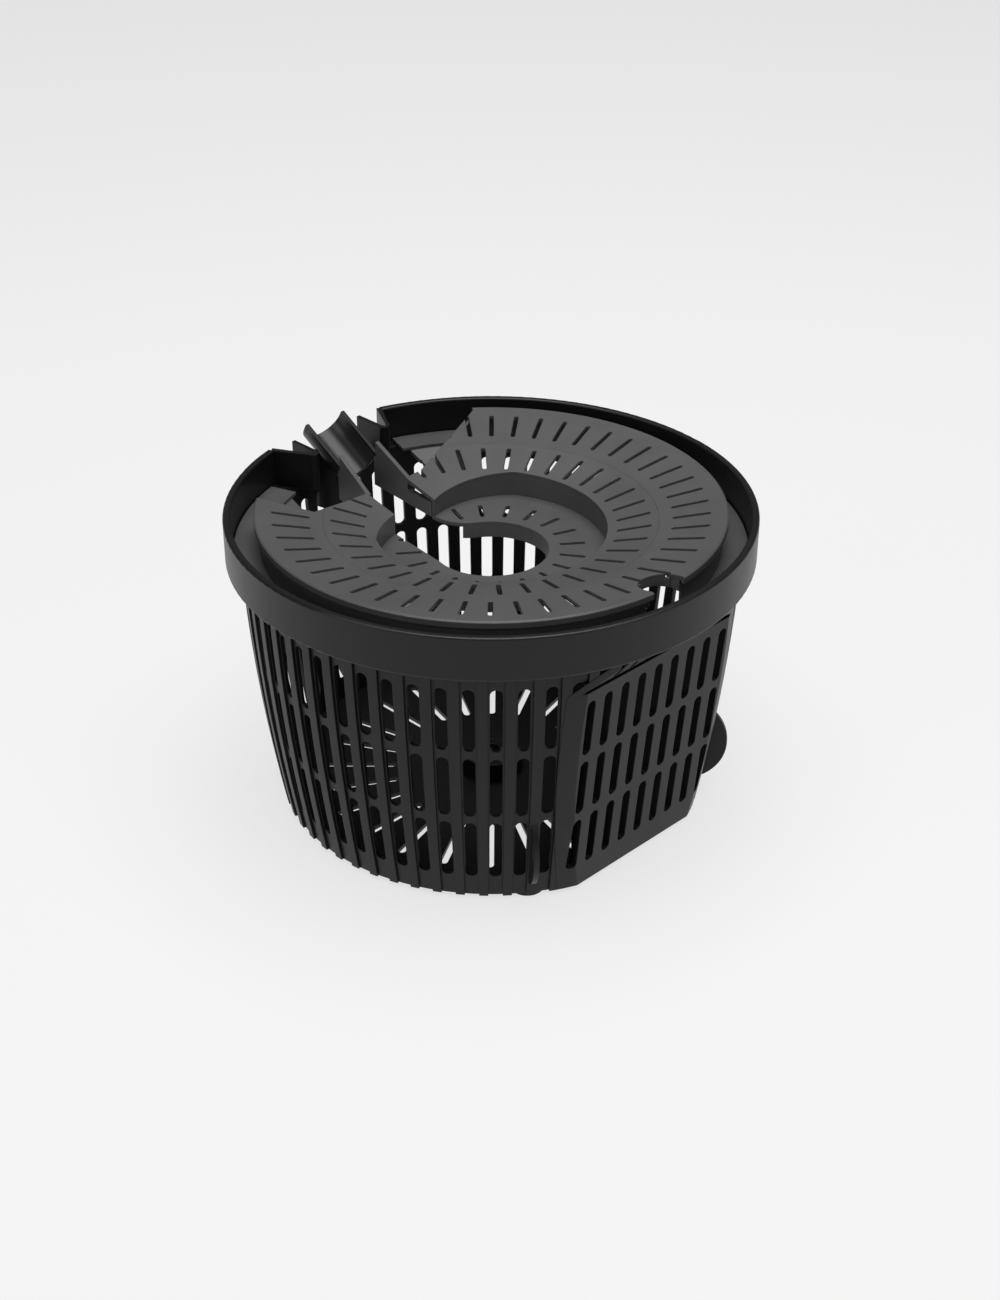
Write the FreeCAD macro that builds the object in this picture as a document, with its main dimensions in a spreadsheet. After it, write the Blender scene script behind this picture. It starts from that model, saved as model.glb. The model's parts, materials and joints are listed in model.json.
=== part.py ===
"""Slotted spinner basket with a lift-out swirl strainer.

Frame: origin on the ground under the centre of the basket, +Z up, millimetres.
The throat of the rim and the finger scoop lie on +Y, the flat side panel on -Y.
Heights named ..._drop are measured down from the top of the rim.
"""
import FreeCAD
import Part
import Sketcher
import math
import os
import re

Vector = FreeCAD.Vector

SIZES = {
    # basket envelope
    "rim_radius": 120.0,
    "basket_height": 146.0,
    "foot_height": 2.0,
    "wall_inset": 6.6,
    "wall_taper": 13.4,
    "wall_top_radius": "=rim_radius - wall_inset",
    "wall_bottom_radius": "=wall_top_radius - wall_taper",
    "wall_arc_radius": 850.0,
    "wall_thickness": 1.8,
    # collar and ledge
    "band_height": 20.4,
    "band_wall": 3.4,
    "bead_radius": 1.0,
    "throat_half_angle": 17.2,
    "ledge_thickness": 2.0,
    "ledge_width": 6.4,
    # ribs and slots of the round wall
    "columns": 60,
    "column_phase": -1.5,
    "rib_angle": 2.3,
    "rib_height": 1.2,
    "rib_top_drop": 24.8,
    "slot_width": 5.4,
    "slot_length": 31.8,
    "slot_pitch": 35.7,
    "slot_top_drop": 29.3,
    "slot_rows": 3,
    # flat panel
    "panel_top_depth": 102.0,
    "panel_bottom_depth": 91.5,
    "panel_shoulder_drop": 35.0,
    "panel_thickness": 3.0,
    "panel_columns": 9,
    "panel_column_pitch": 10.6,
    "panel_rib_width": 3.6,
    "panel_slot_width": 5.0,
    "panel_slot_top_drop": 40.0,
    "panel_slot_length": 28.0,
    "panel_slot_pitch": 32.0,
    "shoulder_slots": 7,
    "shoulder_slot_width": 3.2,
    "shoulder_slot_pitch": 10.0,
    # floor, hub and pivot
    "floor_thickness": 2.2,
    "floor_slots": 24,
    "floor_slot_width": 3.6,
    "floor_slot_inner": 46.0,
    "floor_slot_outer": 82.0,
    "hub_radius": 15.0,
    "hub_height": 12.0,
    "bush_radius": 8.0,
    "pivot_bore": 8.0,
    "bush_fit": 0.05,
    # fins and feet
    "fin_drop": 119.0,
    "fin_half_height": 18.0,
    "fin_reach": 7.0,
    "fin_thickness": 2.4,
    "foot_length": 13.0,
    "foot_width": 7.0,
    # throat hooks
    "hook_wall": 1.8,
    "hook_root_x": 35.0,
    "hook_root_y": 112.6,
    "hook_tip_y": 94.0,
    "hook_lip_x": 19.6,
    "hook_lip_y": 113.5,
    # strainer disc
    "disc_clearance": 10.2,
    "disc_radius": "=rim_radius - band_wall - disc_clearance",
    "disc_slope": 0.19,
    "disc_thickness": 2.0,
    "disc_lip": 3.4,
    "crease_radius": 75.6,
    "inner_slope": 0.24,
    "well_radius": 53.0,
    "crest_radius": 42.0,
    "well_drop": 22.8,
    "well_wall": 1.8,
    "eye_radius": 26.4,
    "eye_skirt": 6.0,
    "ring_slot_width": 2.2,
    "outer_slots": 50,
    "outer_slot_inner": 81.5,
    "outer_slot_outer": 98.6,
    "inner_slots": 36,
    "inner_slot_inner": 56.8,
    "inner_slot_outer": 72.4,
    "well_slots": 20,
    "well_slot_inner": 31.5,
    "well_slot_outer": 43.5,
    "slot_phase": -1.6,
    # strainer seat
    "seat_gap": 0.3,
    "seat_clearance": 0.6,
    "seat_radius": "=rim_radius - band_wall - seat_clearance",
    "skirt_inset": 2.4,
    "skirt_radius": "=disc_radius - skirt_inset",
    "skirt_wall": 1.6,
    "seat_thickness": 1.6,
    "seat_gap_half_angle": 19.5,
    # lower tiers beside the throat
    "tier_slope": 0.45,
    "tier_inner_radius": 62.0,
    "tier_slot_inner": 78.0,
    "tier_slot_outer": 96.0,
    # cut of the disc around the throat
    "peak_x": 66.3,
    "peak_y": 79.7,
    "flank_x": 13.5,
    "flank_y": 61.0,
    "flank_wall": 1.8,
    "gap_left_x": -55.8,
    "gap_left_y": 57.0,
    "gap_end_x": -71.2,
    "gap_end_y": 78.6,
    # channel, arms and scoop
    "channel_left": -21.5,
    "channel_right": 3.5,
    "channel_mouth": 41.0,
    "well_corner_x": 46.0,
    "well_corner_y": 31.0,
    "well_left_x": -45.9,
    "well_left_y": 26.5,
    "arm_wall": 2.2,
    "arm_foot_drop": 24.0,
    "arm_low_drop": 11.0,
    "arm_high_drop": 1.0,
    "scoop_x": -2.5,
    "scoop_radius": 10.2,
    "scoop_wall": 1.8,
    "scoop_length": 28.0,
    "scoop_tilt": 30.0,
    "scoop_start_y": 88.0,
    "scoop_drop": 9.0,
    "flange_height": 2.4,
    "flange_wall": 1.8,
    "nose_drop": 34.0,
    # notch in the disc edge
    "notch_half_width": 9.5,
    "notch_depth": 15.0,
    "notch_skirt": 5.0,
    "notch_wall": 1.6,
}


CAP = "half circle to the right"
CAP_LEFT = "half circle to the left"


def with_sheet(text):
    """Give every alias in an expression its sheet's name."""
    return re.sub(r"[a-z_]+[a-z]", lambda word: "Sizes." + word.group(0)
                  if word.group(0) in SIZES else word.group(0), str(text))


doc = FreeCAD.newDocument("spinner_basket")
sheet = doc.addObject("Spreadsheet::Sheet", "Sizes")
for row, (alias, size) in enumerate(SIZES.items(), start=1):
    sheet.set("A%d" % row, alias)
    sheet.set("B%d" % row, str(size))
    sheet.setAlias("B%d" % row, alias)
doc.recompute()
probe = doc.addObject("App::FeaturePython", "Probe")
parts = []


def value(text):
    """The number that an expression gives now."""
    return float(probe.evalExpression(with_sheet(text)))


def new_body(label, turn=None):
    """One sub-part, turned about the vertical axis if an expression is given."""
    body = doc.addObject("PartDesign::Body", label)
    body.Label = label
    parts.append(body)
    if turn is not None:
        body.Placement = FreeCAD.Placement(Vector(), FreeCAD.Rotation(Vector(0, 0, 1), value(turn)))
        body.setExpression("Placement.Rotation.Angle", with_sheet(turn))
    return body


def datum(body, role):
    return next(item for item in body.Origin.OriginFeatures if item.Role == role)


def add_segment(sketch, start, end, radius):
    """A line, or an arc that turns left (+) or right (-); returns its end positions."""
    if radius is None:
        sketch.addGeometry(Part.LineSegment(Vector(*start, 0), Vector(*end, 0)), False)
        return 1, 2
    first, last = (Vector(*start, 0), Vector(*end, 0))
    chord = last - first
    size = abs(radius)
    rise = math.sqrt(max(size * size - chord.Length ** 2 / 4, 0.0))
    side = Vector(-chord.y, chord.x, 0).normalize()
    centre = (first + last) * 0.5 + side * (rise if radius > 0 else -rise)
    if radius < 0:
        first, last = last, first
    angles = [math.atan2(p.y - centre.y, p.x - centre.x) for p in (first, last)]
    if angles[1] <= angles[0]:
        angles[1] += 2 * math.pi
    circle = Part.Circle(centre, Vector(0, 0, 1), size)
    sketch.addGeometry(Part.ArcOfCircle(circle, angles[0], angles[1]), False)
    return (1, 2) if radius > 0 else (2, 1)


def bind(sketch, kind, text, *place):
    """A driving dimension tied to the sheet."""
    index = sketch.addConstraint(Sketcher.Constraint(kind, *place, value(text)))
    sketch.setExpression("Constraints[%d]" % index, with_sheet(text))


def draw(body, plane, outlines, turn=None):
    """A sketch of closed outlines on an origin plane of the body.

    A corner is (x, y) or (x, y, radius): with a radius, the side that starts there is an arc
    that turns left (a positive radius) or right (a negative one). CAP is a level half circle.
    """
    sketch = body.newObject("Sketcher::SketchObject", body.Name + "_sketch")
    sketch.AttachmentSupport = (datum(body, plane), [""])
    sketch.MapMode = "FlatFace"
    if turn is not None:
        upright = Vector(0, 0, 1) if plane == "XY_Plane" else Vector(0, 1, 0)
        sketch.AttachmentOffset = FreeCAD.Placement(Vector(), FreeCAD.Rotation(upright, value(turn)))
        sketch.setExpression("AttachmentOffset.Rotation.Angle", with_sheet(turn))
    for outline in outlines:
        points = [(value(corner[0]), value(corner[1])) for corner in outline]
        radii = [corner[2] if len(corner) > 2 else None for corner in outline]
        first = len(sketch.Geometry)
        count = len(points)
        ends = []
        for i in range(count):
            start, end = points[i], points[(i + 1) % count]
            if radii[i] in (CAP, CAP_LEFT):
                half = math.hypot(end[0] - start[0], end[1] - start[1]) / 2
                radius = half if radii[i] == CAP_LEFT else -half
            else:
                radius = None if radii[i] is None else value(radii[i])
            ends.append(add_segment(sketch, start, end, radius))
        for i in range(count):
            here = (first + i, ends[i][0])
            before = (first + (i - 1) % count, ends[i - 1][1])
            sketch.addConstraint(Sketcher.Constraint("Coincident", *before, *here))
            bind(sketch, "DistanceX", outline[i][0], -1, 1, *here)
            bind(sketch, "DistanceY", outline[i][1], -1, 1, *here)
            if radii[i] in (CAP, CAP_LEFT):
                bind(sketch, "DistanceY", outline[i][1], -1, 1, first + i, 3)
            elif radii[i] is not None:
                bind(sketch, "Radius", "abs(%s)" % radii[i], first + i)
    return sketch


def revolve(body, sketch, angle="360", cut=False, midplane=False):
    kind = "Groove" if cut else "Revolution"
    feature = body.newObject("PartDesign::" + kind, body.Name + "_" + kind)
    feature.Profile = sketch
    feature.ReferenceAxis = (sketch, ["V_Axis"])
    feature.Refine = False
    feature.Midplane = midplane
    feature.Angle = value(angle)
    feature.setExpression("Angle", with_sheet(angle))
    return feature


def pad(body, sketch, length, midplane=False, reverse=False):
    feature = body.newObject("PartDesign::Pad", body.Name + "_Pad")
    feature.Profile = sketch
    feature.Midplane = midplane
    feature.Reversed = reverse
    feature.Length = value(length)
    feature.setExpression("Length", with_sheet(length))
    return feature


def pocket(body, sketch, both_ways=True, reverse=False):
    """A cut through everything, both ways from the sketch or one way only."""
    feature = body.newObject("PartDesign::Pocket", body.Name + "_Pocket")
    feature.Profile = sketch
    feature.Type = "ThroughAll"
    feature.Refine = False
    feature.Midplane = both_ways
    feature.Reversed = reverse
    return feature


def around(body, feature, count):
    pattern = body.newObject("PartDesign::PolarPattern", body.Name + "_Round")
    pattern.Originals = [feature]
    pattern.Axis = (datum(body, "Z_Axis"), [""])
    pattern.Angle = 360
    pattern.Refine = False
    pattern.Occurrences = int(value(count))
    pattern.setExpression("Occurrences", with_sheet(count))
    body.Tip = pattern
    return pattern


def along_x(body, feature, count, pitch):
    pattern = body.newObject("PartDesign::LinearPattern", body.Name + "_Row")
    pattern.Originals = [feature]
    pattern.Direction = (datum(body, "X_Axis"), [""])
    pattern.Refine = False
    pattern.Length = value("(%s - 1) * %s" % (count, pitch))
    pattern.setExpression("Length", with_sheet("(%s - 1) * %s" % (count, pitch)))
    pattern.Occurrences = int(value(count))
    pattern.setExpression("Occurrences", with_sheet(count))
    body.Tip = pattern
    return pattern


def upright_slot(middle, low, high, width):
    """A slot with round ends, long way along the sketch's y axis."""
    half = "%s / 2" % width
    return [("%s - %s" % (middle, half), "%s + %s" % (low, half)),
            ("%s - %s" % (middle, half), "%s - %s" % (high, half), CAP),
            ("%s + %s" % (middle, half), "%s - %s" % (high, half)),
            ("%s + %s" % (middle, half), "%s + %s" % (low, half), CAP)]


def box_outline(x_low, x_high, y_low, y_high):
    return [(x_low, y_low), (x_high, y_low), (x_high, y_high), (x_low, y_high)]


def ring(body, inner, outer, low, high):
    """A flat ring or disc by revolving its section."""
    return revolve(body, draw(body, "XZ_Plane", [box_outline(inner, outer, low, high)]))


# Heights and radii that several sub-parts share.
RIM = "basket_height"
BAND_BOTTOM = "(basket_height - band_height)"
LEDGE_TOP = "(basket_height - band_height + ledge_thickness)"
BAND_INSIDE = "(rim_radius - band_wall)"
FLOOR_RADIUS = "(wall_bottom_radius - rib_height - wall_thickness)"
FLOOR_TOP = "(foot_height + floor_thickness)"
CREASE_Z = "(basket_height - disc_slope * (disc_radius - crease_radius))"
WELL_FLOOR = "(basket_height - well_drop)"
SEAT_BOTTOM = "(basket_height - band_height + ledge_thickness + seat_gap)"
FRONT_RIB = "(column_phase + 180 / columns)"


def disc_top(radius):
    return "(basket_height - disc_slope * (disc_radius - %s))" % radius


def inner_top(radius):
    return "(%s - inner_slope * (crease_radius - %s))" % (CREASE_Z, radius)


def envelope_cut(body, inside):
    """Remove what lies inside (or outside) the outer surface of the round wall."""
    far = "(rim_radius + 60)"
    side = "0" if inside else far
    outline = [(side, "0 - 20"), ("wall_bottom_radius", "0 - 20"),
               ("wall_bottom_radius", "foot_height", "0 + wall_arc_radius"),
               ("wall_top_radius", BAND_BOTTOM),
               ("wall_top_radius", "rim_radius + 60"), (side, "rim_radius + 60")]
    return revolve(body, draw(body, "XZ_Plane", [outline]), cut=True)


def below_disc(body):
    """Remove what stands above the underside of the strainer disc."""
    rim_outer = "(disc_radius + 40)"
    outline = [("0", inner_top("0") + " - disc_thickness"),
               ("crease_radius", CREASE_Z + " - disc_thickness"),
               (rim_outer, disc_top(rim_outer) + " - disc_thickness"),
               (rim_outer, "basket_height + 80"), ("0", "basket_height + 80")]
    return revolve(body, draw(body, "XZ_Plane", [outline]), cut=True)


# ---------------------------------------------------------------- basket
def rim_collar():
    body = new_body("rim_collar")
    outline = [("0 - rim_radius", BAND_BOTTOM + " + bead_radius", "bead_radius"),
               ("0 - rim_radius + bead_radius", BAND_BOTTOM),
               ("0 - " + BAND_INSIDE, BAND_BOTTOM),
               ("0 - " + BAND_INSIDE, RIM + " - bead_radius", "bead_radius"),
               ("0 - %s - bead_radius" % BAND_INSIDE, RIM),
               ("0 - rim_radius + bead_radius", RIM, "bead_radius"),
               ("0 - rim_radius", RIM + " - bead_radius")]
    revolve(body, draw(body, "YZ_Plane", [outline]), "360 - 2 * throat_half_angle", midplane=True)


def support_ledge():
    body = new_body("support_ledge")
    ring(body, BAND_INSIDE + " - ledge_width", BAND_INSIDE, BAND_BOTTOM, LEDGE_TOP)


def panel_outline(outer_shift, inner_shift, top, bottom):
    """Side view of a strip of the flat side, between two depths."""
    depth = {"band": "wall_top_radius", "shoulder": "panel_top_depth", "base": "panel_bottom_depth"}
    level = {"band": BAND_BOTTOM, "shoulder": RIM + " - panel_shoulder_drop", "base": "foot_height"}
    return [("0 - %s - %s" % (depth[top], outer_shift), level[top]),
            ("0 - %s - %s" % (depth[bottom], outer_shift), level[bottom]),
            ("0 - %s + %s" % (depth[bottom], inner_shift), level[bottom]),
            ("0 - %s + %s" % (depth[top], inner_shift), level[top])]


def shape_part(label, shape):
    """A sub-part whose shape comes from Part's own functions."""
    item = doc.addObject("Part::Feature", label)
    item.Label = label
    item.Shape = shape
    parts.append(item)


WALL_SECTORS = ("wall_right_front", "wall_right", "wall_back", "wall_left", "wall_left_front")


def wall_band(outer, inner, low, high):
    """The section of the wall between two distances inside its outermost surface."""
    def radius(drop, level):
        low_radius = value("wall_bottom_radius") - drop
        high_radius = value("wall_top_radius") - drop
        share = (level - value("foot_height")) / (value(BAND_BOTTOM) - value("foot_height"))
        chord = low_radius + (high_radius - low_radius) * share
        length = value(BAND_BOTTOM) - value("foot_height")
        bulge = length ** 2 / (8 * value("wall_arc_radius"))
        return chord + 4 * bulge * share * (1 - share)

    def arc(drop):
        ends = [Vector(radius(drop, level), 0, level) for level in (low, (low + high) / 2, high)]
        return ends[0], Part.Arc(*ends).toShape(), ends[2]

    outer_low, outer_arc, outer_high = arc(outer)
    inner_low, inner_arc, inner_high = arc(inner)
    edges = [outer_arc, Part.makeLine(outer_high, inner_high), inner_arc,
             Part.makeLine(inner_low, outer_low)]
    return Part.Face(Part.Wire(Part.__sortEdges__(edges)))


def spin(shape, degrees):
    turned = shape.copy()
    turned.rotate(Vector(), Vector(0, 0, 1), degrees)
    return turned


def side_prism(outline):
    """A block across the basket from a side view (y, z)."""
    corners = [Vector(-200, value(corner[0]), value(corner[1])) for corner in outline]
    return Part.Face(Part.makePolygon(corners + corners[:1])).extrude(Vector(400, 0, 0))


def panel_space():
    """What the flat side and its shoulder take away from the round wall."""
    beyond = "0 - rim_radius - 60"
    strip = panel_outline("0", "panel_thickness", "band", "shoulder")
    base = panel_outline("0", "panel_thickness", "shoulder", "base")
    below = (base[2][0], "0 - 20")
    above = (strip[3][0], RIM)
    return side_prism([(beyond, RIM), (beyond, "0 - 20"), below, base[2], strip[2], strip[3], above])


def slot_prism(low, high, width):
    """A radial cutter with round ends, along +X."""
    half = width / 2
    ends = [Part.makeCylinder(half, 60, Vector(70, 0, level), Vector(1, 0, 0))
            for level in (low + half, high - half)]
    middle = Part.makeBox(60, width, high - low - width, Vector(70, -half, low + half))
    return middle.fuse(ends).removeSplitter()


def basket_wall():
    """The tapered shell with its rows of slots, in sectors that meet in the middle of a rib."""
    low, high = value("foot_height"), value(BAND_BOTTOM)
    skin = value("rib_height")
    first = -90 + value("column_phase")
    columns = int(value("columns"))
    column_angle = 360 / columns
    sector_columns = columns // len(WALL_SECTORS)
    section = wall_band(skin, skin + value("wall_thickness"), low, high)
    slots = []
    for row in range(int(value("slot_rows"))):
        top = value(RIM) - value("slot_top_drop") - row * value("slot_pitch")
        slots.append(slot_prism(top - value("slot_length"), top, value("slot_width")))
    for number, label in enumerate(WALL_SECTORS):
        start = number * sector_columns + 0.5
        sector = spin(section.revolve(Vector(), Vector(0, 0, 1), sector_columns * column_angle),
                      first + start * column_angle)
        if sector.BoundBox.YMin < value("0 - panel_bottom_depth"):
            sector = sector.cut(panel_space())
        cutters = [spin(slot, first + (start + 0.5 + column) * column_angle)
                   for slot in slots for column in range(sector_columns)]
        pieces = sector.cut(Part.Compound(cutters)).Solids
        shape_part(label, max(pieces, key=lambda piece: piece.Volume))
    ribs = []
    rib_angle = value("rib_angle")
    rib = wall_band(0, skin, low, high).revolve(Vector(), Vector(0, 0, 1), rib_angle)
    space = panel_space()
    for column in range(columns):
        one = spin(rib, first + (column + 0.5) * 360 / columns - rib_angle / 2)
        ribs += one.cut(space).Solids if one.BoundBox.YMin < -80 else one.Solids
    shape_part("wall_ribs", Part.Compound(ribs))
    step_low = value(RIM) - value("rib_top_drop")
    gap = wall_band(0, skin, step_low, high).revolve(Vector(), Vector(0, 0, 1), 360 / columns - rib_angle)
    steps = []
    for column in range(columns):
        one = spin(gap, first + column * 360 / columns - (360 / columns - rib_angle) / 2)
        steps += one.cut(space).Solids if one.BoundBox.YMin < -80 else one.Solids
    shape_part("rib_heads", Part.Compound(steps))


def flat_panel():
    """The flat slotted side, with the same ribs as the round wall."""
    body = new_body("flat_panel")
    plate = panel_outline("0 - rib_height", "panel_thickness", "shoulder", "base")
    pad(body, draw(body, "YZ_Plane", [plate]), "rim_radius * 1.5", midplane=True)
    rib = panel_outline("0", "0 - rib_height + 0.3", "shoulder", "base")
    rib[2:] = [("%s + rib_height + 0.3" % rib[1][0], rib[1][1]),
               ("%s + rib_height + 0.3" % rib[0][0], rib[0][1])]
    first_rib = "(0 - panel_columns / 2 * panel_column_pitch)"
    sketch = draw(body, "YZ_Plane", [rib])
    sketch.AttachmentOffset = FreeCAD.Placement(Vector(0, 0, value(first_rib)), FreeCAD.Rotation())
    sketch.setExpression("AttachmentOffset.Base.z", with_sheet(first_rib))
    one_rib = pad(body, sketch, "panel_rib_width", midplane=True)
    along_x(body, one_rib, "(panel_columns + 1)", "panel_column_pitch")
    rows = []
    middle = "(0 - (panel_columns - 1) / 2 * panel_column_pitch)"
    for row in range(int(SIZES["slot_rows"])):
        top = "(%s - panel_slot_top_drop - %d * panel_slot_pitch)" % (RIM, row)
        rows.append(upright_slot(middle, "(%s - panel_slot_length)" % top, top, "panel_slot_width"))
    column = pocket(body, draw(body, "XZ_Plane", rows))
    along_x(body, column, "panel_columns", "panel_column_pitch")
    envelope_cut(body, inside=False)


def panel_shoulder():
    """The slope between the band and the flat side, with close upright slits."""
    body = new_body("panel_shoulder")
    plate = panel_outline("0", "panel_thickness", "band", "shoulder")
    pad(body, draw(body, "YZ_Plane", [plate]), "rim_radius * 1.5", midplane=True)
    middle = "(0 - (shoulder_slots - 1) / 2 * shoulder_slot_pitch)"
    slit = upright_slot(middle, RIM + " - panel_shoulder_drop + 2", BAND_BOTTOM + " - 2",
                        "shoulder_slot_width")
    column = pocket(body, draw(body, "XZ_Plane", [slit]))
    along_x(body, column, "shoulder_slots", "shoulder_slot_pitch")
    envelope_cut(body, inside=False)


def panel_chord(body, depth):
    """Cut a flat on the -Y side at a depth from the axis."""
    outline = box_outline("0 - rim_radius", "rim_radius", "0 - rim_radius * 2", "0 - " + depth)
    pocket(body, draw(body, "XY_Plane", [outline]))


def floor_plate():
    body = new_body("floor_plate")
    ring(body, "hub_radius", FLOOR_RADIUS, "foot_height", FLOOR_TOP)
    slot = upright_slot("0", "floor_slot_inner", "floor_slot_outer", "floor_slot_width")
    outer = pocket(body, draw(body, "XY_Plane", [slot]))
    around(body, outer, "floor_slots")
    panel_chord(body, "(panel_bottom_depth - panel_thickness)")


def floor_hub():
    body = new_body("floor_hub")
    ring(body, "bush_radius + bush_fit", "hub_radius", "foot_height", "foot_height + hub_height")


def pivot_bush():
    body = new_body("pivot_bush")
    ring(body, "pivot_bore / 2", "bush_radius", "foot_height", "foot_height + hub_height")


def wall_fin(label, turn):
    """A thin half-round fin on the outside of the wall, low down."""
    body = new_body(label, turn)
    middle = "(%s - fin_drop)" % RIM
    root = "(wall_bottom_radius - 10)"
    bulge = "((fin_half_height ^ 2 + (fin_reach + 2) ^ 2) / (2 * (fin_reach + 2)))"
    outline = [(root, middle + " - fin_half_height"),
               ("wall_bottom_radius + 2", middle + " - fin_half_height", bulge),
               ("wall_bottom_radius + 5", middle + " + fin_half_height"),
               (root, middle + " + fin_half_height")]
    pad(body, draw(body, "XZ_Plane", [outline]), "fin_thickness", midplane=True)
    envelope_cut(body, inside=True)


def foot(label, turn):
    """A small lens-shaped foot under the edge of the wall."""
    body = new_body(label, turn)
    lens = "((foot_length ^ 2 + foot_width ^ 2) / (4 * foot_width))"
    middle = "(wall_bottom_radius - rib_height - foot_width / 2)"
    outline = [(middle, "0 - foot_length / 2", lens), (middle, "foot_length / 2", lens)]
    pad(body, draw(body, "XY_Plane", [outline]), "foot_height")


def throat_hook(label, side):
    """A thin U-shaped cheek that closes one end of the band beside the throat."""
    body = new_body(label)
    bend = "(hook_wall * 1.6)"
    gap = "(hook_wall * 0.6)"
    turn_out, turn_in = (CAP, CAP_LEFT) if side > 0 else (CAP_LEFT, CAP)
    flip = "%s" if side > 0 else "0 - (%s)"
    level = "hook_tip_y + %s" % bend
    outline = [(flip % "hook_root_x", "hook_root_y"),
               (flip % ("hook_lip_x + 2 * %s" % bend), level, turn_out),
               (flip % "hook_lip_x", level),
               (flip % "hook_lip_x", "hook_lip_y"),
               (flip % "(hook_lip_x + hook_wall)", "hook_lip_y"),
               (flip % "(hook_lip_x + hook_wall)", level, turn_in),
               (flip % ("(hook_lip_x + hook_wall + 2 * %s)" % gap), level),
               (flip % "(hook_root_x - hook_wall * 1.1)", "hook_root_y + hook_wall * 0.8")]
    sketch = draw(body, "XY_Plane", [outline])
    sketch.AttachmentOffset = FreeCAD.Placement(Vector(0, 0, value(LEDGE_TOP)), FreeCAD.Rotation())
    sketch.setExpression("AttachmentOffset.Base.z", with_sheet(LEDGE_TOP))
    pad(body, sketch, "(%s - %s)" % (RIM, LEDGE_TOP))


# ---------------------------------------------------------------- strainer
def throat_cut():
    """Plan of the piece that is missing from the disc around the throat."""
    return [("peak_x", "peak_y"), ("flank_x", "flank_y"), ("channel_left - arm_wall", "flank_y - 1"),
            ("gap_left_x", "gap_left_y"), ("gap_end_x", "gap_end_y"),
            ("0 - rim_radius * 0.8", "rim_radius * 1.1"), ("rim_radius * 0.8", "rim_radius * 1.1")]


def well_outline(grow):
    """Plan of the well, with its mouth towards the throat; grow moves it outwards."""
    return [("channel_right", "channel_mouth + %s" % grow, "0 - (crest_radius + %s)" % grow),
            ("well_corner_x + %s" % grow, "well_corner_y + %s" % grow, "0 - (well_radius + 2.4 + %s)" % grow),
            ("0", "0 - well_radius - %s" % grow, "0 - (well_radius + %s)" % grow),
            ("well_left_x - %s" % grow, "well_left_y + %s" % grow, "0 - (well_radius + %s)" % grow),
            ("channel_left", "channel_mouth + %s" % grow)]


def radial_slots(body, inner, outer, count):
    slot = upright_slot("0", inner, outer, "ring_slot_width")
    cut = pocket(body, draw(body, "XY_Plane", [slot], "180 + slot_phase"))
    around(body, cut, count)


def outer_ring():
    body = new_body("strainer_outer_ring")
    outline = [("crease_radius", CREASE_Z), ("disc_radius - 0.8", disc_top("(disc_radius - 0.8)")),
               ("disc_radius", disc_top("disc_radius") + " - 0.8"),
               ("disc_radius", RIM + " - disc_lip"), ("disc_radius - 1.8", RIM + " - disc_lip"),
               ("disc_radius - 1.8", disc_top("(disc_radius - 1.8)") + " - disc_thickness"),
               ("crease_radius", CREASE_Z + " - disc_thickness")]
    revolve(body, draw(body, "XZ_Plane", [outline]))
    radial_slots(body, "outer_slot_inner", "outer_slot_outer", "outer_slots")
    notch = [("0 - notch_half_width", "0 - disc_radius - 10"),
             ("notch_half_width", "0 - disc_radius - 10"),
             ("notch_half_width", "0 - disc_radius + notch_depth - notch_half_width", "notch_half_width"),
             ("0 - notch_half_width", "0 - disc_radius + notch_depth - notch_half_width")]
    notch[2] = (notch[2][0], notch[2][1], CAP_LEFT)
    pocket(body, draw(body, "XY_Plane", [notch]))
    pocket(body, draw(body, "XY_Plane", [throat_cut()]))


def inner_ring():
    body = new_body("strainer_inner_ring")
    tip = "(well_radius * 0.66)"
    outline = [(tip, inner_top(tip)), ("crease_radius", CREASE_Z),
               ("crease_radius", CREASE_Z + " - disc_thickness"), (tip, inner_top(tip) + " - disc_thickness")]
    revolve(body, draw(body, "XZ_Plane", [outline]))
    radial_slots(body, "inner_slot_inner", "inner_slot_outer", "inner_slots")
    pocket(body, draw(body, "XY_Plane", [throat_cut()]))
    pocket(body, draw(body, "XY_Plane", [well_outline("0")]))
    channel = box_outline("channel_left", "channel_right", "channel_mouth - 6", "rim_radius")
    pocket(body, draw(body, "XY_Plane", [channel]))


def well_wall():
    body = new_body("well_wall")
    sketch = draw(body, "XY_Plane", [well_outline("well_wall")])
    sketch.AttachmentOffset = FreeCAD.Placement(Vector(0, 0, value(WELL_FLOOR)), FreeCAD.Rotation())
    sketch.setExpression("AttachmentOffset.Base.z", with_sheet(WELL_FLOOR))
    pad(body, sketch, "well_drop")
    pocket(body, draw(body, "XY_Plane", [well_outline("0")]))
    channel = box_outline("channel_left", "channel_right", "channel_mouth - 6", "rim_radius")
    pocket(body, draw(body, "XY_Plane", [channel]))
    below_disc(body)


def eye_mouth():
    """Plan of the way from the eye to the channel: one side sweeps in, the other runs straight."""
    return [("channel_right", "rim_radius"), ("channel_right", "channel_mouth", "eye_radius * 0.74"),
            ("eye_radius * 0.5", "eye_radius * 0.866"), ("0 - eye_radius * 0.966", "eye_radius * 0.259"),
            ("channel_left", "channel_mouth"), ("channel_left", "rim_radius")]


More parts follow.
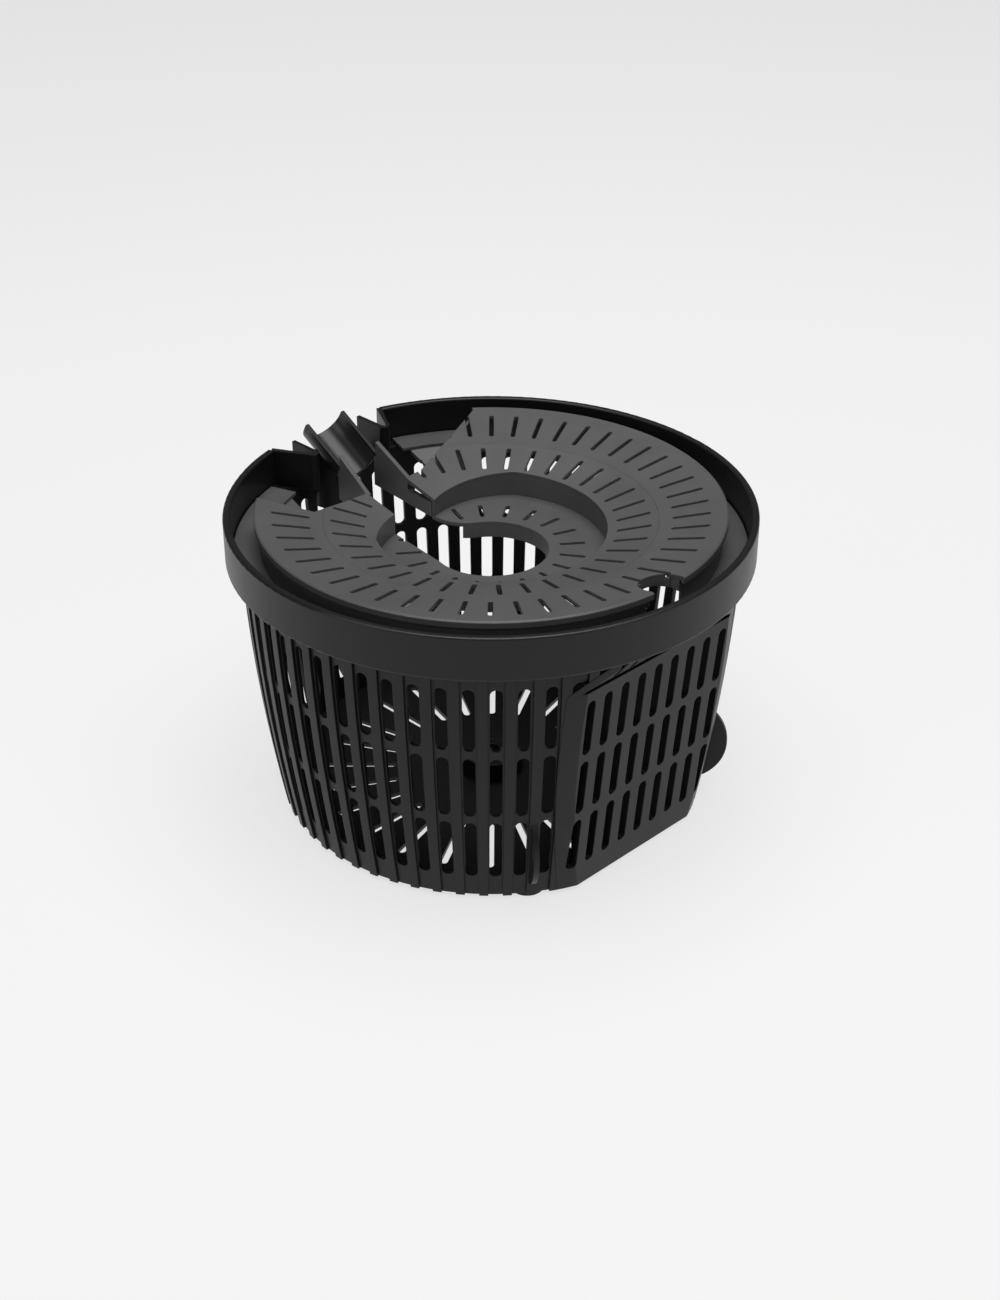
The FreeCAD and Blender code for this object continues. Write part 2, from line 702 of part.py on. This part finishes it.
def well_floor():
    body = new_body("well_floor")
    sketch = draw(body, "XY_Plane", [well_outline("well_wall")])
    low = "(%s - disc_thickness)" % WELL_FLOOR
    sketch.AttachmentOffset = FreeCAD.Placement(Vector(0, 0, value(low)), FreeCAD.Rotation())
    sketch.setExpression("AttachmentOffset.Base.z", with_sheet(low))
    pad(body, sketch, "disc_thickness")
    radial_slots(body, "well_slot_inner", "well_slot_outer", "well_slots")
    pocket(body, draw(body, "XY_Plane", [eye_mouth()]))
    outline = box_outline("0", "eye_radius", "0", "basket_height * 2")
    revolve(body, draw(body, "XZ_Plane", [outline]), cut=True)


def eye_skirt():
    body = new_body("eye_skirt")
    ring(body, "eye_radius", "eye_radius + well_wall", WELL_FLOOR + " - disc_thickness - eye_skirt",
         WELL_FLOOR + " - disc_thickness")
    pocket(body, draw(body, "XY_Plane", [eye_mouth()]))


def seat_sector(body):
    """Leave the seat open where the throat passes."""
    half = "seat_gap_half_angle"
    outline = [("0", "0"), ("rim_radius * 2 * sin(%s)" % half, "rim_radius * 2 * cos(%s)" % half),
               ("0 - rim_radius * 2 * sin(%s)" % half, "rim_radius * 2 * cos(%s)" % half)]
    side = "notch_half_width + notch_wall + seat_gap"
    notch = box_outline("0 - " + side.replace("+", "-"), side, "0 - rim_radius * 2", "0 - rim_radius / 2")
    pocket(body, draw(body, "XY_Plane", [outline, notch]))


def seat_flange():
    body = new_body("seat_flange")
    ring(body, "skirt_radius", "seat_radius", SEAT_BOTTOM, SEAT_BOTTOM + " + seat_thickness")
    seat_sector(body)


def seat_skirt():
    body = new_body("seat_skirt")
    ring(body, "skirt_radius - skirt_wall", "skirt_radius", SEAT_BOTTOM, RIM)
    seat_sector(body)
    below_disc(body)
    low = "(%s + seat_thickness)" % SEAT_BOTTOM
    sketch = draw(body, "XY_Plane", [throat_cut()])
    sketch.AttachmentOffset = FreeCAD.Placement(Vector(0, 0, value(low)), FreeCAD.Rotation())
    sketch.setExpression("AttachmentOffset.Base.z", with_sheet(low))
    pocket(body, sketch, both_ways=False, reverse=True)


def raise_sketch(sketch, level):
    sketch.AttachmentOffset = FreeCAD.Placement(Vector(0, 0, value(level)), FreeCAD.Rotation())
    sketch.setExpression("AttachmentOffset.Base.z", with_sheet(level))
    return sketch


def wall_along(label, path, wall, low, high):
    """A thin upright wall on one side of a straight plan line, under the disc."""
    (x1, y1), (x2, y2) = path
    body = new_body(label)
    outline = [(x1, y1), (x2, y2), (x2, "%s - %s" % (y2, wall)), (x1, "%s - %s" % (y1, wall))]
    pad(body, raise_sketch(draw(body, "XY_Plane", [outline]), low), "(%s - %s)" % (high, low))
    below_disc(body)
    beyond = box_outline("(skirt_radius - skirt_wall)", "rim_radius * 2", "0", RIM + " * 2")
    revolve(body, draw(body, "XZ_Plane", [beyond]), cut=True)


def tier_top(radius):
    return "(%s - tier_slope * (skirt_radius - skirt_wall - %s))" % (SEAT_BOTTOM, radius)


def lower_tier(label, side):
    """A slotted dish beside the throat, sloping down from the seat."""
    body = new_body(label)
    outer = "(skirt_radius - skirt_wall)"
    outline = [("tier_inner_radius", tier_top("tier_inner_radius")), (outer, tier_top(outer)),
               (outer, tier_top(outer) + " - disc_thickness"),
               ("tier_inner_radius", tier_top("tier_inner_radius") + " - disc_thickness")]
    revolve(body, draw(body, "XZ_Plane", [outline]))
    radial_slots(body, "tier_slot_inner", "tier_slot_outer", "outer_slots")
    far = "rim_radius * 1.5"
    if side > 0:
        rise = "(peak_y - flank_y) / (peak_x - flank_x)"
        keep = [("hook_root_x + 3", "flank_y + %s * (hook_root_x + 3 - flank_x) + 0.1" % rise),
                ("peak_x", "peak_y + 0.1"), ("peak_x + 30", far),
                ("hook_root_x + 3", far)]
    else:
        keep = [("0 - hook_root_x - 3", "gap_left_y + 0.1"), ("0 - hook_root_x - 3", far),
                ("gap_end_x - 30", far), ("gap_end_x", "gap_end_y + 0.1"),
                ("gap_left_x", "gap_left_y + 0.1")]
    frame = box_outline("0 - rim_radius * 2", "rim_radius * 2", "0 - rim_radius * 2", "rim_radius * 2")
    pocket(body, draw(body, "XY_Plane", [frame, keep]))


def arm(label, inner_low, inner_high, side):
    """An upright wall from the disc to the scoop; its top climbs outwards."""
    body = new_body(label)
    grow = "arm_wall" if side > 0 else "0 - arm_wall"
    start = "(channel_mouth + well_wall + 0.4)"
    plan = [(inner_low, start), (inner_high, "scoop_start_y"),
            ("%s + %s" % (inner_high, grow), "scoop_start_y"),
            ("%s + %s" % (inner_low, grow), start)]
    foot_level = "(%s - arm_foot_drop)" % RIM
    pad(body, raise_sketch(draw(body, "XY_Plane", [plan]), foot_level), "arm_foot_drop")
    underside = inner_top("channel_mouth") + " - disc_thickness - 0.4"
    over = [("channel_mouth", underside), ("flank_y + 0.3", underside),
            ("flank_y + 0.3", "(%s - arm_low_drop)" % RIM),
            ("scoop_start_y - 1.5", "(%s - arm_high_drop)" % RIM),
            ("scoop_start_y - 1.5", "(%s - scoop_drop)" % RIM),
            ("scoop_start_y + 1", "(%s - scoop_drop)" % RIM), ("scoop_start_y + 1", RIM + " + 20"),
            ("channel_mouth", RIM + " + 20")]
    pocket(body, draw(body, "YZ_Plane", [over]))


def scoop_frame(body):
    """Stand the body's own frame at the low end of the scoop, tilted up and outwards."""
    body.Placement = FreeCAD.Placement(
        Vector(value("scoop_x"), value("scoop_start_y"), value(RIM + " - scoop_drop")),
        FreeCAD.Rotation(Vector(1, 0, 0), value("scoop_tilt")))
    body.setExpression("Placement.Base.x", with_sheet("scoop_x"))
    body.setExpression("Placement.Base.y", with_sheet("scoop_start_y"))
    body.setExpression("Placement.Base.z", with_sheet(RIM + " - scoop_drop"))
    body.setExpression("Placement.Rotation.Angle", with_sheet("scoop_tilt"))


def finger_scoop():
    """A half-round trough, open upwards, that a finger hooks under to lift the strainer."""
    body = new_body("finger_scoop")
    outer = "(scoop_radius + scoop_wall)"
    outline = [("0 - " + outer, "0", "scoop_radius + scoop_wall + 0.01"), (outer, "0"),
               ("scoop_radius", "0", "0 - scoop_radius - 0.01"), ("0 - scoop_radius", "0")]
    outline[0] = (outline[0][0], "0", CAP_LEFT)
    outline[2] = ("scoop_radius", "0", CAP)
    pad(body, draw(body, "XZ_Plane", [outline]), "scoop_length", reverse=True)
    scoop_frame(body)


def scoop_flange(label, side):
    """A low fence along one edge of the scoop."""
    body = new_body(label)
    inner, outer = "scoop_radius", "(scoop_radius + flange_wall)"
    low, high = (inner, outer) if side > 0 else ("0 - " + outer, "0 - " + inner)
    pad(body, draw(body, "XZ_Plane", [box_outline(low, high, "0", "flange_height")]), "scoop_length",
        reverse=True)
    scoop_frame(body)


def scoop_nose():
    """The half-round post under the low end of the scoop, shaped to its underside."""
    outer = value("scoop_radius + scoop_wall")
    tilt = math.radians(value("scoop_tilt"))
    start = Vector(value("scoop_x"), value("scoop_start_y"), value(RIM + " - scoop_drop"))
    height = value("nose_drop - scoop_drop / 2")
    centre = Vector(start.x, start.y + outer * (1 + math.sin(tilt)), value(RIM + " - nose_drop"))
    up = Vector(0, 0, 1)
    post = Part.makeCylinder(outer, height, centre, up, 180).cut(
        Part.makeCylinder(value("scoop_radius"), height, centre, up))
    post.rotate(centre, up, 180)
    along = Vector(0, math.cos(tilt), math.sin(tilt))
    shape_part("scoop_nose", post.cut(Part.makeCylinder(outer, 4 * outer, start, along)))


def notch_skirt():
    body = new_body("notch_skirt")
    def arch(width):
        top = "0 - disc_radius + notch_depth - notch_half_width"
        return [("0 - " + width, "0 - disc_radius + 3"), (width, "0 - disc_radius + 3"),
                (width, top, CAP_LEFT), ("0 - " + width, top)]
    low = "(%s - notch_skirt - 3)" % RIM
    pad(body, raise_sketch(draw(body, "XY_Plane", [arch("(notch_half_width + notch_wall)")]), low),
        "notch_skirt + 3")
    pocket(body, draw(body, "XY_Plane", [arch("notch_half_width")]))
    mouth = box_outline("0 - notch_half_width", "notch_half_width", "0 - rim_radius", "0 - disc_radius + 8")
    pocket(body, draw(body, "XY_Plane", [mouth]))
    below_disc(body)


rim_collar()
support_ledge()
basket_wall()
flat_panel()
panel_shoulder()
floor_plate()
floor_hub()
pivot_bush()
SIDE_RIBS = 6
BACK = "(%s + 90)" % FRONT_RIB
LEFT = "(%s - 90 - %d * 360 / columns)" % (FRONT_RIB, SIDE_RIBS)
RIGHT = "(%s - 90 + %d * 360 / columns)" % (FRONT_RIB, SIDE_RIBS)
for place, turn in (("left", LEFT), ("right", RIGHT), ("back", BACK)):
    wall_fin("fin_" + place, turn)
    foot("foot_" + place, turn)
throat_hook("throat_hook_right", 1)
throat_hook("throat_hook_left", -1)
outer_ring()
inner_ring()
well_wall()
well_floor()
eye_skirt()
seat_flange()
seat_skirt()
wall_along("flank_wall_right", [("flank_x", "flank_y"), ("peak_x", "peak_y")],
           "flank_wall", "(%s - 30)" % RIM, RIM)
wall_along("flank_wall_left", [("gap_end_x", "gap_end_y"), ("gap_left_x", "gap_left_y")],
           "flank_wall", "(%s - 30)" % RIM, RIM)
lower_tier("lower_tier_right", 1)
lower_tier("lower_tier_left", -1)
arm("arm_right", "channel_right", "(scoop_x + scoop_radius)", 1)
arm("arm_left", "channel_left", "(scoop_x - scoop_radius)", -1)
finger_scoop()
scoop_flange("scoop_flange_right", 1)
scoop_flange("scoop_flange_left", -1)
scoop_nose()
notch_skirt()

doc.recompute()
faults = [item.Name for item in doc.Objects if {"Invalid", "Error"} & set(item.State)]
for item in parts:
    if item.Shape.isNull() or not item.Shape.isValid():
        faults.append(item.Label)
if faults:
    raise RuntimeError("not sound: " + ", ".join(faults))
os.makedirs("parts", exist_ok=True)
for item in parts:
    item.Shape.exportStep(os.path.join("parts", item.Label + ".step"))
    print(item.Label, round(item.Shape.Volume), len(item.Shape.Solids))
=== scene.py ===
"""The looks of the salad spinner's basket and strainer insert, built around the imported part.

Both mouldings are one satin black plastic, shown on a pale studio floor. Lengths are in
metres, in the part's own frame: Z is up and the channel of the insert opens towards +Y.
"""
import json
import math

import bpy
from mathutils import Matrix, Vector

# Each finish: base colour, roughness, coat, height of the moulded grain, and its scale per metre.
FINISHES = {
    "basket": ((0.0034, 0.0034, 0.0036), 0.43, 0.02, 0.00006, 900),
    "collar": ((0.0040, 0.0040, 0.0042), 0.38, 0.03, 0.00003, 700),
    # Painted light: the strainer's base colour is about eighteen times lighter than the basket's,
    # standing in for the light that falls on its upward-facing top.
    "strainer": ((0.0600, 0.0600, 0.0612), 0.47, 0.06, 0.00005, 900),
    "scoop": ((0.0080, 0.0080, 0.0083), 0.36, 0.10, 0.00004, 700),
    "bush": ((0.0060, 0.0060, 0.0060), 0.26, 0.20, 0.00001, 500),
}
GLOSSY_NODES = {
    "rim_collar": "collar",
    "finger_scoop": "scoop",
    "scoop_flange_right": "scoop",
    "scoop_flange_left": "scoop",
    "scoop_nose": "scoop",
    "pivot_bush": "bush",
}

EDGE_RADIUS = 0.0006
COAT_ROUGHNESS = 0.25
SPECULAR_LEVEL = 0.30
CLOUD_SCALE = 38
CLOUD_TINT = (0.82, 1.25)
CLOUD_GLOSS = (-0.05, 0.07)

FLOOR_SIZE = 14
FLOOR_DROP = 0.0002
FLOOR_TONES = (0.15, 0.17)
FLOOR_GLOW = 0.70

# Each soft box: where it hangs, its side in metres and its power in watts.
SOFT_BOXES = {
    "overhead": ((0.0, -0.1, 1.5), 1.3, 30),
    "left_box": ((-1.6, 0.3, 0.9), 0.8, 6),
    "right_box": ((0.3, -1.6, 0.9), 0.8, 4),
}
SURROUNDINGS = 0.13

CAMERA_TARGET = Vector((0, 0, 0.0702))
CAMERA_DISTANCE = 0.9348
CAMERA_AZIMUTH = math.radians(225.35)
CAMERA_ELEVATION = math.radians(30.84)
CAMERA_LENS = 55.24
CAMERA_SHIFT = (0.0069, -0.0015)


def plastic(name, colour, roughness, coat, grain, scale):
    """Moulded plastic: faintly cloudy colour and gloss, a fine moulded grain and eased edges."""
    material = bpy.data.materials.new(name)
    material.use_nodes = True
    nodes, links = material.node_tree.nodes, material.node_tree.links
    shader = nodes["Principled BSDF"]
    shader.inputs["Coat Weight"].default_value = coat
    shader.inputs["Coat Roughness"].default_value = COAT_ROUGHNESS
    shader.inputs["Specular IOR Level"].default_value = SPECULAR_LEVEL
    place = nodes.new("ShaderNodeTexCoord")

    cloud = nodes.new("ShaderNodeTexNoise")
    cloud.inputs["Scale"].default_value = CLOUD_SCALE
    cloud.inputs["Detail"].default_value = 5
    links.new(place.outputs["Object"], cloud.inputs["Vector"])

    tint = nodes.new("ShaderNodeMix")
    tint.data_type = "RGBA"
    for socket, strength in zip("AB", CLOUD_TINT):
        tint.inputs[socket].default_value = (*(strength * part for part in colour), 1)
    links.new(cloud.outputs["Fac"], tint.inputs["Factor"])
    links.new(tint.outputs["Result"], shader.inputs["Base Color"])

    gloss = nodes.new("ShaderNodeMapRange")
    gloss.inputs["To Min"].default_value = roughness + CLOUD_GLOSS[0]
    gloss.inputs["To Max"].default_value = roughness + CLOUD_GLOSS[1]
    links.new(cloud.outputs["Fac"], gloss.inputs["Value"])
    links.new(gloss.outputs["Result"], shader.inputs["Roughness"])

    moulded = nodes.new("ShaderNodeTexNoise")
    moulded.inputs["Scale"].default_value = scale
    moulded.inputs["Detail"].default_value = 2
    links.new(place.outputs["Object"], moulded.inputs["Vector"])
    edges = nodes.new("ShaderNodeBevel")
    edges.samples = 4
    edges.inputs["Radius"].default_value = EDGE_RADIUS
    bump = nodes.new("ShaderNodeBump")
    links.new(edges.outputs["Normal"], bump.inputs["Normal"])
    bump.inputs["Strength"].default_value = 0.5
    bump.inputs["Distance"].default_value = grain
    links.new(moulded.outputs["Fac"], bump.inputs["Height"])
    links.new(bump.outputs["Normal"], shader.inputs["Normal"])
    return material


def studio_floor():
    """A pale matt floor, lit a little from within so that it stays even far out."""
    bpy.ops.mesh.primitive_plane_add(size=FLOOR_SIZE, location=(0, 0, -FLOOR_DROP))
    floor = bpy.context.object
    floor.name = "studio_floor"
    material = bpy.data.materials.new("pale_floor")
    material.use_nodes = True
    nodes, links = material.node_tree.nodes, material.node_tree.links
    shader = nodes["Principled BSDF"]
    shader.inputs["Specular IOR Level"].default_value = 0.1
    shader.inputs["Roughness"].default_value = 0.9
    paper = nodes.new("ShaderNodeTexNoise")
    paper.inputs["Scale"].default_value = 3
    tone = nodes.new("ShaderNodeMix")
    tone.data_type = "RGBA"
    for socket, grey in zip("AB", FLOOR_TONES):
        tone.inputs[socket].default_value = (grey, grey, grey, 1)
    links.new(paper.outputs["Fac"], tone.inputs["Factor"])
    links.new(tone.outputs["Result"], shader.inputs["Base Color"])
    shader.inputs["Emission Color"].default_value = (1, 1, 1, 1)
    shader.inputs["Emission Strength"].default_value = FLOOR_GLOW
    floor.data.materials.append(material)


def soft_light(name, place, size, watts):
    """A square soft box at a place, turned towards the object."""
    data = bpy.data.lights.new(name, "AREA")
    data.size = size
    data.energy = watts
    light = bpy.data.objects.new(name, data)
    light.location = place
    light.rotation_euler = (CAMERA_TARGET - Vector(place)).to_track_quat("-Z", "Y").to_euler()
    bpy.context.scene.collection.objects.link(light)


def studio():
    """Dim surroundings, a wide soft box overhead and one at each side."""
    world = bpy.data.worlds.new("studio")
    world.use_nodes = True
    background = world.node_tree.nodes["Background"]
    background.inputs["Color"].default_value = (1, 1, 1, 1)
    background.inputs["Strength"].default_value = SURROUNDINGS
    bpy.context.scene.world = world
    bpy.context.scene.view_settings.view_transform = "Standard"
    for name, box in SOFT_BOXES.items():
        soft_light(name, *box)


def camera():
    """The product view: from above the left front, over the flat side of the basket."""
    data = bpy.data.cameras.new("product_view")
    data.lens = CAMERA_LENS
    data.shift_x, data.shift_y = CAMERA_SHIFT
    view = bpy.data.objects.new("product_view", data)
    level = math.cos(CAMERA_ELEVATION)
    away = Vector((level * math.cos(CAMERA_AZIMUTH), level * math.sin(CAMERA_AZIMUTH),
                   math.sin(CAMERA_ELEVATION)))
    view.location = CAMERA_TARGET + CAMERA_DISTANCE * away
    view.rotation_euler = (-away).to_track_quat("-Z", "Y").to_euler()
    bpy.context.scene.collection.objects.link(view)
    bpy.context.scene.camera = view


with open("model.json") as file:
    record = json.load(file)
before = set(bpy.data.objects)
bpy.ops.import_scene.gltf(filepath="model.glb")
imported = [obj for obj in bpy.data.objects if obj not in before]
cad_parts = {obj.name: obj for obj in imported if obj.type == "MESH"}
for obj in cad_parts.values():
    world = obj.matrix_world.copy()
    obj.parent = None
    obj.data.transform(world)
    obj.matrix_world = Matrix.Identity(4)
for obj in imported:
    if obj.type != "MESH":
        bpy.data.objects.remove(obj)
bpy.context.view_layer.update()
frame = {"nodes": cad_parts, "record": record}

materials = {name: plastic(name + "_plastic", *finish) for name, finish in FINISHES.items()}
for body, nodes in frame["record"]["behaviour"]["bodies"].items():
    for node in nodes:
        mesh = frame["nodes"][node].data
        mesh.materials.clear()
        mesh.materials.append(materials[GLOSSY_NODES.get(node, body)])

studio_floor()
studio()
camera()
